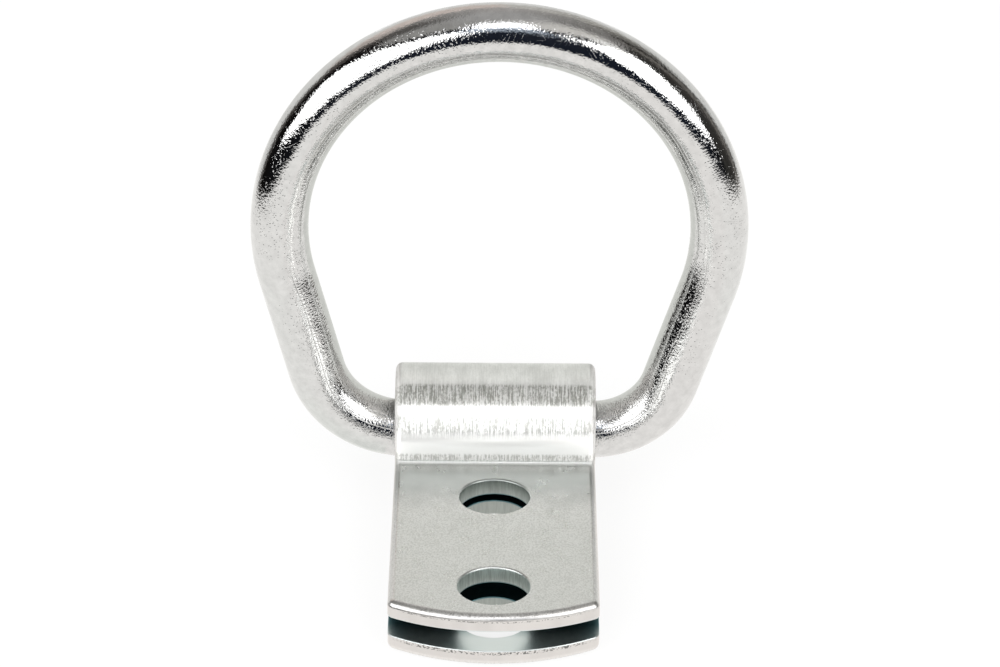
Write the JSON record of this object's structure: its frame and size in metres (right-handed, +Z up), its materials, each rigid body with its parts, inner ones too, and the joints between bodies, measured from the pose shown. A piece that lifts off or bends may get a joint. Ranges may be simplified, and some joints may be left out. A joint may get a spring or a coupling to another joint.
{
  "type": "tie-down eye",
  "caption": "Zinc-plated steel tie-down eye: a D-shaped ring of round bar swings in the loop of a folded sheet clip that bolts down flat through its legs.",
  "frame": {"origin": "midway between the bolt holes, on the underside of the clip's lower leg", "axes": "+Z up, away from the surface that the clip is bolted to; X along the ring's hinge axis; the clip's legs run towards -Y and the ring stands at +Y"},
  "size_m": [0.0854, 0.0715, 0.0908],
  "materials": {
    "zinc_sheet": "bright zinc plate on mild steel sheet, satin",
    "zinc_bar": "bright zinc plate on drawn round bar, glossy"
  },
  "bodies": {
    "clip": {"strap": "zinc_sheet"},
    "ring": {"ring": "zinc_bar"}
  },
  "joints": [
    {"name": "ring_swing", "type": "hinge", "parent": "clip", "child": "ring", "pos_m": [0, 0.0364, 0.0082], "axis": [1, 0, 0], "range_deg": [-92, 92]}
  ]
}
